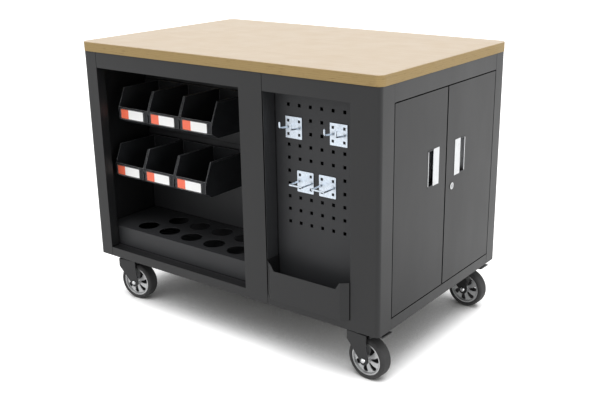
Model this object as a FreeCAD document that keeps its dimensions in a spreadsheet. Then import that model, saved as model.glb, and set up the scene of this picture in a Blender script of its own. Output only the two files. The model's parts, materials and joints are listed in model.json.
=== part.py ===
import FreeCAD, Part
import math
import os
import Sketcher

# Rolling tool cabinet with a wooden worktop, all lengths in millimetres.
# Body pieces are drawn from the front left bottom corner of the sheet metal body:
# X to the right, Y to the back, Z up. Their placement moves them to the shared frame,
# whose origin lies on the floor under the middle of the whole cabinet.

# Sheet metal body
BODY_WIDTH = 1125
BODY_DEPTH = 714
BODY_HEIGHT = 690
METAL = 1.5
SEAM = 0.4
SEAT = 0.3

# Worktop
TOP_THICKNESS = 30
TOP_OVERHANG = 3.5
TOP_CORNER = 22
TOP_EDGE = 1.5

# Front: posts, rails and the two openings
POST_WIDTH = 56.4
POST_SIDE = 65.6
POST_LIP = 31.5
POST_ROUND = 12
FRONT_RAIL = 50
FRONT_FOOT = 30
BAY_WIDTH = 597.2
MIDDLE_POST = 85.7
PEG_WIDTH = 294.7
PANEL_FOLD = 20

# Right side: rails and doorway
SIDE_RAIL = 50.1
SIDE_FOOT = 33.2
REAR_SIDE = 57
JAMB = 22
SIDE_LIP = 32

# Doors
DOOR_DEPTH = 20
DOOR_GAP = 2.5
DOOR_MEETING_GAP = 4
LEFT_DOOR_WIDTH = 283.4
PIN_RADIUS = 2
PIN_INSET = 5
PIN_REACH = 8
PIN_HEAD = 3
RUNNING_FIT = 0.05

# Recessed door pulls
PULL_WIDTH = 62
PULL_HEIGHT = 108
PULL_RIM = 2
PULL_PROUD = 0.8
PULL_DEPTH = 17
PULL_METAL = 1.2
PULL_GRIP = 33
PULL_ROUND = 7
PULL_Z = 364
LEFT_PULL_Y = 248
RIGHT_PULL_Y = 404

# Lock
LOCK_Y = 392
LOCK_Z = 335
LOCK_BEZEL = 10.5
LOCK_PROUD = 1.6
LOCK_BARREL = 8.5
LOCK_BARREL_LENGTH = 16
PLUG_RADIUS = 6
PLUG_LENGTH = 22
KEY_HEIGHT = 7
KEY_WIDTH = 2
KEY_DEPTH = 6
CAM_LENGTH = 42
CAM_WIDTH = 14
CAM_METAL = 2

# Floor, shelf and walls inside
BAY_DEPTH = 254
SHELF_Z = 340
SHELF_FOLD = 22
SHELF_LEFT = 668
BRACKET = 18

# Shelf with round holes in the bay
CAN_SHELF_Z = 96
CAN_SHELF_Y = 38
CAN_RADIUS = 35
CAN_PITCH = 100
CAN_FIRST_X = 140
CAN_ROW_Y = 97
CAN_BACK_X = 190
CAN_BACK_Y = 190

# Perforated panel
PEG_DEPTH = 52.5
PEG_HOLE = 10
PEG_PITCH = 38
PEG_FIRST_X = 789.6
PEG_FIRST_Z = 257.2

# Pocket under the perforated panel
POCKET_METAL = 1.2
POCKET_BULGE = 17.5
POCKET_SLOPE = 22
POCKET_HEIGHT = 90.2
POCKET_EAR = 110.7
POCKET_EAR_INSET = 15
POCKET_EAR_SLOPE = 14
RIVET_RADIUS = 2
RIVET_HEAD = 4.5
RIVET_Y = 13
RIVET_LOW_Z = 48
RIVET_HIGH_Z = 117

# Hooks
HOOK_PLATE_WIDTH = 57
HOOK_PLATE_HEIGHT = 62
HOOK_PLATE_METAL = 2
HOOK_HOLE = 8
HOOK_DROP = 7
HOOK_WIRE = 2.6
HOOK_REACH = 50
HOOK_TIP = 17
HOOK_RISE = 8
LOOP_REACH = 44
LOOP_WIDTH = 44
TAB_REACH = 7
TAB_WIDTH = 6

# Bins and the rails that carry them
BIN_WIDTH = 137
BIN_PITCH = 139
BIN_DEPTH = 183
BIN_HEIGHT = 114
BIN_WALL = 2
BIN_RIM = 2
BIN_RIM_HEIGHT = 5
BIN_FRONT = 28
BIN_LIP_LOW = 16
BIN_LIP_HIGH = 50
BIN_TOE = 26
BIN_Y = 62
BIN_FIRST_X = 73
BIN_ROW_SHIFT = 38
UPPER_BIN_Z = 451
LOWER_BIN_Z = 255.4
LABEL_WIDTH = 105
LABEL_HEIGHT = 33
LABEL_INSET = 13
HOLDER_DEPTH = 2.4
HOOK_WEB = 6.5
HOOK_DROP_BIN = 12
BIN_HOOK_METAL = 1.6
BIN_HOOK_WIDTH = 90
RAIL_LIP = 15
RAIL_PLATE = 34

# Base channels
CHANNEL_X = 30
CHANNEL_WIDTH = 116
CHANNEL_METAL = 2.5

# Casters
CASTER_HEIGHT = 160
CASTER_X = 88
CASTER_Y = 59
PLATE_LENGTH = 105
PLATE_WIDTH = 85
PLATE_METAL = 4
PLATE_ROUND = 8
BOLT_X = 40
BOLT_Y = 30
BOLT_RADIUS = 4
BOLT_HEAD = 7
BOLT_HEAD_HEIGHT = 5.5
RACE_RADIUS = 28
RACE_DROP = 10
LOWER_RACE_RADIUS = 31
KING_RADIUS = 6
KING_NUT = 10
CROWN_DROP = 18
CROWN_METAL = 5
FORK_HALF_LENGTH = 34
FORK_HALF_WIDTH = 31
FORK_METAL = 4
FORK_SKIRT = 42
HUB_RADIUS = 15
TRAIL = 25
WHEEL_RADIUS = 62.5
TYRE_WIDTH = 42
TYRE_ROUND = 9
CORE_RADIUS = 50
CORE_WIDTH = 36
CORE_WEB = 26
CORE_RIM = 44.5
NAVE_RADIUS = 12
WINDOW_INNER = 16
WINDOW_OUTER = 41
AXLE_RADIUS = 5
AXLE_HEAD = 7.5
AXLE_HEAD_HEIGHT = 6
PEDAL_X = 26
PEDAL_Z = 29
PEDAL_PIN = 3
PEDAL_HALF_WIDTH = 22
PEDAL_REACH = 86
PEDAL_METAL = 4
NEAR_YAW = -4
LEFT_YAW = 8
REAR_YAW = -2
FAR_YAW = 5

doc = FreeCAD.newDocument("tool_cabinet")
sheet = doc.addObject("Spreadsheet::Sheet", "Sizes")


class Size:
    """A length together with the spreadsheet expression that it comes from."""

    def __init__(self, value, text):
        self.value = value
        self.text = text

    def __add__(self, other):
        other = as_size(other)
        return Size(self.value + other.value, "(%s + %s)" % (self.text, other.text))

    def __sub__(self, other):
        other = as_size(other)
        return Size(self.value - other.value, "(%s - %s)" % (self.text, other.text))

    def __mul__(self, factor):
        factor = as_size(factor)
        return Size(self.value * factor.value, "(%s * %s)" % (self.text, factor.text))

    def __truediv__(self, factor):
        factor = as_size(factor)
        return Size(self.value / factor.value, "(%s / %s)" % (self.text, factor.text))

    def __neg__(self):
        return Size(-self.value, "(0 - %s)" % self.text)


def as_size(number):
    if isinstance(number, Size):
        return number
    return Size(number, "(%.6f)" % number)


def fill_sheet():
    """Puts each size in a cell with an alias; from here on its name stands for that cell."""
    sizes = [name for name in globals() if name.isupper()]
    for row, name in enumerate(sizes, 1):
        alias = name.lower()
        value = globals()[name]
        sheet.set("A%d" % row, alias)
        sheet.set("B%d" % row, str(value))
        sheet.setAlias("B%d" % row, alias)
        globals()[name] = Size(float(value), "Sizes." + alias)


fill_sheet()

# Places that follow from the sizes
zero = Size(0.0, "0")
half_width = BODY_WIDTH / 2
front_y = -((BODY_DEPTH + TOP_OVERHANG - POCKET_BULGE) / 2)
bay_right = POST_WIDTH + BAY_WIDTH
peg_left = bay_right + MIDDLE_POST
peg_right = peg_left + PEG_WIDTH
doorway_low = SIDE_FOOT
doorway_high = BODY_HEIGHT - SIDE_RAIL
jamb_y = BODY_DEPTH - REAR_SIDE
pieces = []


def new_body(label, x, y, z, turn=0.0):
    """An empty body whose own frame sits at x, y, z, turned about Z."""
    body = doc.addObject("PartDesign::Body", label)
    body.Label = label
    spot = FreeCAD.Vector(x.value, y.value, z.value)
    body.Placement = FreeCAD.Placement(spot, FreeCAD.Rotation(FreeCAD.Vector(0, 0, 1), turn))
    body.setExpression("Placement.Base.x", x.text)
    body.setExpression("Placement.Base.y", y.text)
    body.setExpression("Placement.Base.z", z.text)
    return body


def cabinet_body(label):
    """A body drawn from the front left bottom corner of the sheet metal body."""
    return new_body(label, -half_width, front_y, CASTER_HEIGHT)


def keep(body):
    pieces.append(body)
    return body


def origin_feature(body, role):
    for feature in body.Origin.OriginFeatures:
        if feature.Role == role:
            return feature
    raise ValueError(role)


def bind(sketch, kind, item, point, length):
    """Ties one coordinate of a sketch point, or a radius, to its size."""
    if kind == "Radius":
        number = sketch.addConstraint(Sketcher.Constraint("Radius", item, length.value))
    else:
        rule = Sketcher.Constraint(kind, -1, 1, item, point, length.value)
        number = sketch.addConstraint(rule)
    sketch.setExpression("Constraints[%d]" % number, length.text)


def add_outline(sketch, points, closed=True):
    spots = [FreeCAD.Vector(as_size(u).value, as_size(v).value, 0) for u, v in points]
    count = len(points) if closed else len(points) - 1
    first = len(sketch.Geometry)
    for n in range(count):
        end = spots[(n + 1) % len(spots)]
        sketch.addGeometry(Part.LineSegment(spots[n], end), False)
    for n in range(count - 1):
        sketch.addConstraint(Sketcher.Constraint("Coincident", first + n, 2, first + n + 1, 1))
    if closed:
        sketch.addConstraint(Sketcher.Constraint("Coincident", first + count - 1, 2, first, 1))
    for n in range(count):
        bind(sketch, "DistanceX", first + n, 1, as_size(points[n][0]))
        bind(sketch, "DistanceY", first + n, 1, as_size(points[n][1]))
    if not closed:
        bind(sketch, "DistanceX", first + count - 1, 2, as_size(points[-1][0]))
        bind(sketch, "DistanceY", first + count - 1, 2, as_size(points[-1][1]))


def add_disc(sketch, u, v, radius):
    u = as_size(u)
    v = as_size(v)
    centre = FreeCAD.Vector(u.value, v.value, 0)
    circle = Part.Circle(centre, FreeCAD.Vector(0, 0, 1), radius.value)
    item = sketch.addGeometry(circle, False)
    bind(sketch, "Radius", item, 0, radius)
    bind(sketch, "DistanceX", item, 3, u)
    bind(sketch, "DistanceY", item, 3, v)


class Disc:
    """A circle in a sketch."""

    def __init__(self, u, v, radius):
        self.u = u
        self.v = v
        self.radius = radius


def rectangle(u0, v0, u1, v1):
    return [(u0, v0), (u1, v0), (u1, v1), (u0, v1)]


def folded(points, thickness):
    """The closed section of a sheet folded along a path; the sheet lies left of the path."""
    steps = []
    for n in range(len(points) - 1):
        du = as_size(points[n + 1][0]).value - as_size(points[n][0]).value
        dv = as_size(points[n + 1][1]).value - as_size(points[n][1]).value
        length = math.hypot(du, dv)
        steps.append((-dv / length, du / length))
    inner = []
    for n, (u, v) in enumerate(points):
        before = steps[max(n - 1, 0)]
        after = steps[min(n, len(steps) - 1)]
        if n in (0, len(points) - 1):
            shift = after if n == 0 else before
        else:
            shift = (before[0] + after[0], before[1] + after[1])
        inner.append((as_size(u) + thickness * shift[0], as_size(v) + thickness * shift[1]))
    return list(points) + inner[::-1]


def draw(body, label, plane, loops, level):
    """A sketch on one of the body's own planes, moved along the plane's normal."""
    sketch = body.newObject("Sketcher::SketchObject", label)
    sketch.AttachmentSupport = (origin_feature(body, plane + "_Plane"), "")
    sketch.MapMode = "FlatFace"
    offset = -level if plane == "XZ" else level
    sketch.AttachmentOffset = FreeCAD.Placement(FreeCAD.Vector(0, 0, offset.value), FreeCAD.Rotation())
    sketch.setExpression("AttachmentOffset.Base.z", offset.text)
    for loop in loops:
        if isinstance(loop, Disc):
            add_disc(sketch, loop.u, loop.v, loop.radius)
        else:
            add_outline(sketch, loop)
    return sketch


def pad(body, label, plane, loops, low, high):
    """Material between two levels along the normal axis of the plane."""
    low = as_size(low)
    high = as_size(high)
    start = high if plane == "XZ" else low
    feature = body.newObject("PartDesign::Pad", label)
    feature.Profile = draw(body, label + "_sketch", plane, loops, start)
    feature.setExpression("Length", (high - low).text)
    body.Tip = feature
    return feature


def pocket(body, label, plane, loops, low, high):
    """A cut between two levels along the normal axis of the plane."""
    low = as_size(low)
    high = as_size(high)
    start = low if plane == "XZ" else high
    feature = body.newObject("PartDesign::Pocket", label)
    feature.Profile = draw(body, label + "_sketch", plane, loops, start)
    feature.setExpression("Length", (high - low).text)
    body.Tip = feature
    return feature


def turned(body, label, points):
    """A ring or shaft about the body's Y axis, from a radius and height outline."""
    feature = body.newObject("PartDesign::Revolution", label)
    sketch = draw(body, label + "_sketch", "XY", [points], zero)
    feature.Profile = sketch
    feature.ReferenceAxis = (sketch, ["V_Axis"])
    feature.Angle = 360
    body.Tip = feature
    return feature


def round_edges(body, label, radius, axis, points):
    """Rounds the straight edges that run along an axis through the given points."""
    doc.recompute()
    base = body.Tip
    names = []
    for n, edge in enumerate(base.Shape.Edges, 1):
        if not isinstance(edge.Curve, Part.Line):
            continue
        if abs(edge.tangentAt(edge.FirstParameter)[axis]) < 0.999:
            continue
        middle = edge.CenterOfMass
        spot = [middle[i] for i in range(3) if i != axis]
        for u, v in points:
            if math.dist(spot, (as_size(u).value, as_size(v).value)) < 0.05:
                names.append("Edge%d" % n)
    feature = body.newObject("PartDesign::Fillet", label)
    feature.Base = (base, names)
    feature.setExpression("Radius", radius.text)
    body.Tip = feature
    return feature


def round_rims(body, label, radius, rim):
    """Rounds the circular edges of one radius."""
    doc.recompute()
    base = body.Tip
    names = []
    for n, edge in enumerate(base.Shape.Edges, 1):
        if isinstance(edge.Curve, Part.Circle) and abs(edge.Curve.Radius - rim.value) < 0.01:
            names.append("Edge%d" % n)
    feature = body.newObject("PartDesign::Fillet", label)
    feature.Base = (base, names)
    feature.setExpression("Radius", radius.text)
    body.Tip = feature
    return feature


def row_pattern(body, label, axis, pitch, count):
    pattern = body.newObject("PartDesign::LinearPattern", label)
    pattern.Direction = (origin_feature(body, axis + "_Axis"), [""])
    pattern.Occurrences = count
    pattern.setExpression("Length", (pitch * (count - 1)).text)
    return pattern


def repeat(label, body, spots):
    """Equal separate solids at several places, as one node."""
    links = []
    for n, spot in enumerate(spots, 1):
        link = doc.addObject("App::Link", "%s_%d" % (label, n))
        link.LinkedObject = body
        link.LinkTransform = False
        link.Placement = spot
        links.append(link)
    group = doc.addObject("Part::Compound", label)
    group.Label = label
    group.Links = links
    pieces.append(group)
    return group


def cabinet_spot(x, y, z, axis=None, angle=0.0):
    """A place given from the body's front left bottom corner."""
    base = FreeCAD.Vector(x.value - half_width.value, y.value + front_y.value, z.value + CASTER_HEIGHT.value)
    turn = FreeCAD.Rotation(axis or FreeCAD.Vector(0, 0, 1), angle)
    return FreeCAD.Placement(base, turn)


def make_worktop():
    body = keep(cabinet_body("worktop"))
    left = -TOP_OVERHANG
    right = BODY_WIDTH + TOP_OVERHANG
    back = BODY_DEPTH + TOP_OVERHANG
    top = BODY_HEIGHT + TOP_THICKNESS
    pad(body, "board", "XY", [rectangle(left, left, right, back)], BODY_HEIGHT, top)
    corners = [(left, left), (right, left), (right, back), (left, back)]
    round_edges(body, "corners", TOP_CORNER, 2, corners)
    doc.recompute()
    base = body.Tip
    names = []
    for n, face in enumerate(base.Shape.Faces, 1):
        if abs(face.CenterOfMass.z - top.value) < 0.01:
            names.append("Face%d" % n)
    edge = body.newObject("PartDesign::Chamfer", "top_edge")
    edge.Base = (base, names)
    edge.setExpression("Size", TOP_EDGE.text)
    body.Tip = edge


def make_front_left_post():
    body = keep(cabinet_body("front_left_post"))
    path = [(zero, POST_SIDE), (zero, zero), (POST_WIDTH, zero), (POST_WIDTH, POST_LIP)]
    pad(body, "post", "XY", [folded(path, METAL)], zero, BODY_HEIGHT)
    trim_lip(body, POST_WIDTH - METAL, METAL, POST_WIDTH, POST_LIP)
    round_edges(body, "corner", POST_ROUND, 2, [(zero, zero)])
    round_edges(body, "corner_inside", POST_ROUND - METAL, 2, [(METAL, METAL)])


def trim_lip(body, x0, y0, x1, y1):
    """A post's inner lip stops above the base channels."""
    pocket(body, "lip_trim", "XY", [rectangle(x0, y0, x1, y1)], zero, FRONT_FOOT - METAL)


def make_front_frame():
    body = keep(cabinet_body("front_frame"))
    left = POST_WIDTH + SEAM
    top = BODY_HEIGHT - FRONT_RAIL
    face = [
        (left, zero), (peg_left, zero), (peg_left, BODY_HEIGHT), (left, BODY_HEIGHT),
        (left, top), (bay_right, top), (bay_right, FRONT_FOOT), (left, FRONT_FOOT),
    ]
    pad(body, "face", "XZ", [face], zero, METAL)
    path = [(left, FRONT_FOOT), (bay_right, FRONT_FOOT), (bay_right, top), (left, top)]
    pad(body, "bay_lip", "XZ", [folded(path, -METAL)], zero, POST_LIP)
    side = rectangle(peg_left - METAL, zero, peg_left, BODY_HEIGHT)
    pad(body, "peg_lip", "XZ", [side], zero, POST_LIP)


def make_right_front_frame():
    body = keep(cabinet_body("right_front_frame"))
    left = peg_left + SEAM
    top = BODY_HEIGHT - FRONT_RAIL
    path = [
        (peg_right, POST_LIP), (peg_right, zero), (BODY_WIDTH, zero),
        (BODY_WIDTH, POST_SIDE), (BODY_WIDTH - JAMB, POST_SIDE),
    ]
    pad(body, "post", "XY", [folded(path, METAL)], zero, BODY_HEIGHT)
    joint = peg_right + METAL
    upper = rectangle(left, top, joint, BODY_HEIGHT)
    lower = rectangle(left, zero, joint, FRONT_FOOT)
    pad(body, "rails", "XZ", [upper, lower], zero, METAL)
    upper_lip = rectangle(left, top, joint, top + METAL)
    lower_lip = rectangle(left, FRONT_FOOT - METAL, joint, FRONT_FOOT)
    pad(body, "rail_lips", "XZ", [upper_lip, lower_lip], zero, POST_LIP)
    trim_lip(body, peg_right, METAL, joint, POST_LIP)
    inside = BODY_WIDTH - METAL
    round_edges(body, "corner", POST_ROUND, 2, [(BODY_WIDTH, zero)])
    round_edges(body, "corner_inside", POST_ROUND - METAL, 2, [(inside, METAL)])


def make_right_rails():
    low_y = POST_SIDE + SEAM
    high_y = jamb_y - SEAM
    face = BODY_WIDTH
    upper = keep(cabinet_body("right_top_rail"))
    path = [
        (face - SIDE_LIP, doorway_high), (face, doorway_high),
        (face, BODY_HEIGHT), (face - PANEL_FOLD, BODY_HEIGHT),
    ]
    pad(upper, "rail", "XZ", [folded(path, METAL)], low_y, high_y)
    lower = keep(cabinet_body("right_bottom_rail"))
    path = [
        (face - PANEL_FOLD, zero), (face, zero),
        (face, doorway_low), (face - SIDE_LIP, doorway_low),
    ]
    pad(lower, "rail", "XZ", [folded(path, METAL)], low_y, high_y)
    bore = PIN_RADIUS + RUNNING_FIT
    x = face - PIN_INSET
    holes = [Disc(x, y, bore) for y in hinge_lines()]
    pocket(upper, "pin_bores", "XY", holes, doorway_high, doorway_high + METAL)
    pocket(lower, "pin_bores", "XY", holes, doorway_low - METAL, doorway_low)


def hinge_lines():
    front = POST_SIDE + DOOR_GAP + PIN_INSET
    back = jamb_y - DOOR_GAP - PIN_INSET
    return [front, back]


def make_back_posts():
    back = BODY_DEPTH
    right = keep(cabinet_body("back_right_post"))
    inner = BODY_WIDTH - POST_WIDTH
    path = [
        (BODY_WIDTH - JAMB, jamb_y), (BODY_WIDTH, jamb_y),
        (BODY_WIDTH, back), (inner, back), (inner, back - POST_LIP),
    ]
    pad(right, "post", "XY", [folded(path, METAL)], zero, BODY_HEIGHT)
    trim_lip(right, inner, back - POST_LIP, inner + METAL, back - METAL)
    round_edges(right, "corner", POST_ROUND, 2, [(BODY_WIDTH, back)])
    inside = (BODY_WIDTH - METAL, back - METAL)
    round_edges(right, "corner_inside", POST_ROUND - METAL, 2, [inside])
    left = keep(cabinet_body("back_left_post"))
    path = [
        (POST_WIDTH, back - POST_LIP), (POST_WIDTH, back),
        (zero, back), (zero, back - POST_SIDE),
    ]
    pad(left, "post", "XY", [folded(path, METAL)], zero, BODY_HEIGHT)
    trim_lip(left, POST_WIDTH - METAL, back - POST_LIP, POST_WIDTH, back - METAL)
    round_edges(left, "corner", POST_ROUND, 2, [(zero, back)])
    inside = (METAL, back - METAL)
    round_edges(left, "corner_inside", POST_ROUND - METAL, 2, [inside])


def make_outer_panels():
    side = keep(cabinet_body("left_side_panel"))
    path = [
        (PANEL_FOLD, BODY_HEIGHT), (zero, BODY_HEIGHT),
        (zero, zero), (PANEL_FOLD, zero),
    ]
    low_y = POST_SIDE + SEAM
    high_y = BODY_DEPTH - POST_SIDE - SEAM
    pad(side, "panel", "XZ", [folded(path, METAL)], low_y, high_y)
    back = keep(cabinet_body("back_panel"))
    edge = BODY_DEPTH
    path = [
        (edge - PANEL_FOLD, zero), (edge, zero),
        (edge, BODY_HEIGHT), (edge - PANEL_FOLD, BODY_HEIGHT),
    ]
    low_x = POST_WIDTH + SEAM
    high_x = BODY_WIDTH - POST_WIDTH - SEAM
    pad(back, "panel", "YZ", [folded(path, METAL)], low_x, high_x)


def make_floor():
    body = keep(cabinet_body("cabinet_floor"))
    left = METAL + SEAM
    right = BODY_WIDTH - JAMB - SEAT
    front = POST_LIP + SEAT
    back = BODY_DEPTH - METAL - SEAT
    notch = POST_WIDTH + SEAT
    rear = BODY_DEPTH - POST_LIP - SEAT
    far = BODY_WIDTH - notch
    outline = [
        (left, front), (right, front), (right, rear), (far, rear),
        (far, back), (notch, back), (notch, rear), (left, rear),
    ]
    pad(body, "sheet", "XY", [outline], FRONT_FOOT - METAL, FRONT_FOOT)


def make_base_channels():
    body = cabinet_body("base_channel")
    wide = CHANNEL_WIDTH
    high = FRONT_FOOT - METAL
    path = [(zero, high), (zero, zero), (wide, zero), (wide, high)]
    low_y = METAL + SEAT
    high_y = BODY_DEPTH - PANEL_FOLD - SEAT
    pad(body, "channel", "XZ", [folded(path, CHANNEL_METAL)], low_y, high_y)
    bore = BOLT_RADIUS + RUNNING_FIT
    middle = wide / 2
    holes = []
    for y in (CASTER_Y, BODY_DEPTH - CASTER_Y):
        for side in (-1, 1):
            holes.append(Disc(middle + BOLT_X * side, y - BOLT_Y, bore))
            holes.append(Disc(middle + BOLT_X * side, y + BOLT_Y, bore))
    pocket(body, "bolt_bores", "XY", holes, zero, CHANNEL_METAL)
    right = BODY_WIDTH - CHANNEL_X - CHANNEL_WIDTH
    spots = [cabinet_spot(x, zero, zero) for x in (CHANNEL_X, right)]
    repeat("base_channels", body, spots)


def make_bay_walls():
    back = keep(cabinet_body("bay_back_panel"))
    low_z = FRONT_FOOT + SEAT
    high_z = BODY_HEIGHT - METAL - SEAT
    left = METAL + SEAM
    sheet_face = rectangle(left, low_z, bay_right + METAL, high_z)
    pad(back, "panel", "XZ", [sheet_face], BAY_DEPTH, BAY_DEPTH + METAL)
    wall = keep(cabinet_body("bay_partition"))
    front = POST_LIP + SEAT
    rear = BAY_DEPTH - SEAT
    pad(wall, "panel", "YZ", [rectangle(front, low_z, rear, high_z)], bay_right, bay_right + METAL)


def make_can_shelf():
    body = keep(cabinet_body("can_shelf"))
    low = FRONT_FOOT + SEAT
    rear = BAY_DEPTH - SEAT
    path = [
        (CAN_SHELF_Y, low), (CAN_SHELF_Y, CAN_SHELF_Z),
        (rear, CAN_SHELF_Z), (rear, low),
    ]
    left = METAL + SEAM
    right = bay_right - SEAT
    pad(body, "shelf", "YZ", [folded(path, -METAL)], left, right)
    under = CAN_SHELF_Z - METAL
    pocket(body, "front_hole", "XY", [Disc(CAN_FIRST_X, CAN_ROW_Y, CAN_RADIUS)], under, CAN_SHELF_Z)
    front_row = row_pattern(body, "front_holes", "X", CAN_PITCH, 5)
    front_row.Originals = [body.Tip]
    body.Tip = front_row
    hole = pocket(body, "back_hole", "XY", [Disc(CAN_BACK_X, CAN_BACK_Y, CAN_RADIUS)], under, CAN_SHELF_Z)
    back_row = row_pattern(body, "back_holes", "X", CAN_PITCH, 4)
    back_row.Originals = [hole]
    body.Tip = back_row


def make_cupboard_shelf():
    body = keep(cabinet_body("cupboard_shelf"))
    front = PEG_DEPTH + METAL + SEAT
    back = BODY_DEPTH - METAL - SEAT
    right = BODY_WIDTH - SIDE_LIP - SEAT
    low = SHELF_Z - SHELF_FOLD
    path = [
        (SHELF_LEFT, low), (SHELF_LEFT, SHELF_Z),
        (right, SHELF_Z), (right, low),
    ]
    pad(body, "shelf", "XZ", [folded(path, -METAL)], front, back)
    rear = BODY_DEPTH - POST_LIP - SEAT
    notch = rectangle(BODY_WIDTH - POST_WIDTH - SEAT, rear, right + 1, back + 1)
    pocket(body, "post_notch", "XY", [notch], low, SHELF_Z)
    holder = cabinet_body("shelf_bracket")
    under = SHELF_Z - METAL
    path = [(zero, under - BRACKET), (zero, under), (BRACKET, under)]
    low_x = peg_left + BRACKET
    high_x = peg_right - BRACKET
    pad(holder, "angle", "YZ", [folded(path, -METAL)], low_x, high_x)
    near = cabinet_spot(zero, front, zero)
    shift = half_width * 2 - (low_x + high_x)
    far = cabinet_spot(BODY_WIDTH - shift, BODY_DEPTH - METAL, zero, None, 180)
    repeat("shelf_brackets", holder, [near, far])


def make_pegboard():
    body = keep(cabinet_body("pegboard"))
    left = peg_left + SEAM + SEAT
    right = peg_right - SEAT
    low = FRONT_FOOT + SEAT
    high = BODY_HEIGHT - FRONT_RAIL - SEAT
    back = PEG_DEPTH + METAL
    pad(body, "block", "XZ", [rectangle(left, low, right, high)], METAL + SEAT, back)
    inside = rectangle(left + METAL, low - METAL, right - METAL, high - METAL)
    pocket(body, "recess", "XZ", [inside], zero, PEG_DEPTH)
    half = PEG_HOLE / 2
    z = PEG_FIRST_Z
    x = PEG_FIRST_X
    hole = rectangle(x - half, z - half, x + half, z + half)
    first = pocket(body, "hole", "XZ", [hole], PEG_DEPTH, back)
    grid = body.newObject("PartDesign::MultiTransform", "holes")
    grid.Originals = [first]
    columns = row_pattern(body, "columns", "X", PEG_PITCH, 6)
    rows_up = row_pattern(body, "rows", "Z", PEG_PITCH, 10)
    grid.Transformations = [columns, rows_up]
    body.Tip = grid
    bore = RIVET_RADIUS + RUNNING_FIT
    bores = [Disc(RIVET_Y, level, bore) for level in (RIVET_LOW_Z, RIVET_HIGH_Z)]
    pocket(body, "rivet_bores", "YZ", bores, left, right)


def make_pocket():
    body = keep(cabinet_body("pocket"))
    left = peg_left + SEAM + SEAT + METAL
    right = peg_right - SEAT - METAL
    low = FRONT_FOOT + SEAT
    edge = low + POCKET_HEIGHT
    ear = low + POCKET_EAR
    rear = PEG_DEPTH - SEAT
    bulge = -POCKET_BULGE
    first = left + POCKET_SLOPE
    last = right - POCKET_SLOPE
    outer = [(left, rear), (left, zero), (first, bulge), (last, bulge), (right, zero), (right, rear)]
    pad(body, "block", "XY", [outer], low, ear)
    wall = POCKET_METAL
    slant = wall * 0.45
    inner = [
        (left + wall, rear + wall), (left + wall, slant), (first + slant, bulge + wall),
        (last - slant, bulge + wall), (right - wall, slant), (right - wall, rear + wall),
    ]
    pocket(body, "inside", "XY", [inner], low + wall, ear)
    start = first + POCKET_EAR_INSET - POCKET_EAR_SLOPE
    end = last - POCKET_EAR_INSET + POCKET_EAR_SLOPE
    mouth = [
        (start + POCKET_EAR_SLOPE, edge), (end - POCKET_EAR_SLOPE, edge),
        (end, ear + wall), (start, ear + wall),
    ]
    pocket(body, "mouth", "XZ", [mouth], bulge, rear)
    bore = RIVET_RADIUS + RUNNING_FIT
    holes = [Disc(RIVET_Y, z, bore) for z in (RIVET_LOW_Z, RIVET_HIGH_Z)]
    pocket(body, "rivet_bores", "YZ", holes, left, right)


def make_pocket_rivets():
    rivet = new_body("pocket_rivet", zero, zero, zero)
    wall = METAL + POCKET_METAL
    head = RIVET_HEAD
    shank = RIVET_RADIUS
    outline = [
        (zero, -wall), (shank, -wall), (shank, zero), (head, zero),
        (head - 1.2, shank * 0.8), (zero, shank),
    ]
    turned(rivet, "rivet", outline)
    left = peg_left + SEAM + SEAT + wall
    right = peg_right - SEAT - wall
    axis = FreeCAD.Vector(0, 0, 1)
    spots = []
    for z in (RIVET_LOW_Z, RIVET_HIGH_Z):
        spots.append(cabinet_spot(left, RIVET_Y, z, axis, -90))
        spots.append(cabinet_spot(right, RIVET_Y, z, axis, 90))
    repeat("pocket_rivets", rivet, spots)


def make_door(label, low_y, high_y, pin_y, pull_y, lock):
    body = keep(cabinet_body(label))
    face = BODY_WIDTH
    inner = face - DOOR_DEPTH
    low = doorway_low + DOOR_GAP
    high = doorway_high - DOOR_GAP
    pad(body, "block", "YZ", [rectangle(low_y, low, high_y, high)], inner, face)
    hollow = rectangle(low_y + METAL, low + METAL, high_y - METAL, high - METAL)
    cut = pocket(body, "hollow", "YZ", [hollow], inner, face - METAL)
    cut.Reversed = True
    cut.Profile[0].AttachmentOffset = FreeCAD.Placement(FreeCAD.Vector(0, 0, inner.value), FreeCAD.Rotation())
    cut.Profile[0].setExpression("AttachmentOffset.Base.z", inner.text)
    seat_y = pull_y + PULL_RIM
    seat_z = PULL_Z + PULL_RIM
    opening = rectangle(
        seat_y - RUNNING_FIT, seat_z - RUNNING_FIT,
        pull_y + PULL_WIDTH - PULL_RIM + RUNNING_FIT,
        PULL_Z + PULL_HEIGHT - PULL_RIM + RUNNING_FIT,
    )
    pocket(body, "pull_cutout", "YZ", [opening], face - METAL, face)
    if lock:
        hole = Disc(LOCK_Y, LOCK_Z, LOCK_BARREL + RUNNING_FIT)
        pocket(body, "lock_hole", "YZ", [hole], face - METAL, face)
    bore = Disc(face - PIN_INSET, pin_y, PIN_RADIUS + RUNNING_FIT)
    pocket(body, "lower_pin_bore", "XY", [bore], low, low + METAL)
    pocket(body, "upper_pin_bore", "XY", [bore], high - METAL, high)
    return body


def make_doors():
    front_pin, back_pin = hinge_lines()
    low_y = POST_SIDE + DOOR_GAP
    seam_y = low_y + LEFT_DOOR_WIDTH
    make_door("left_door", low_y, seam_y, front_pin, LEFT_PULL_Y, False)
    high_y = jamb_y - DOOR_GAP
    make_door("right_door", seam_y + DOOR_MEETING_GAP, high_y, back_pin, RIGHT_PULL_Y, True)


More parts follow.
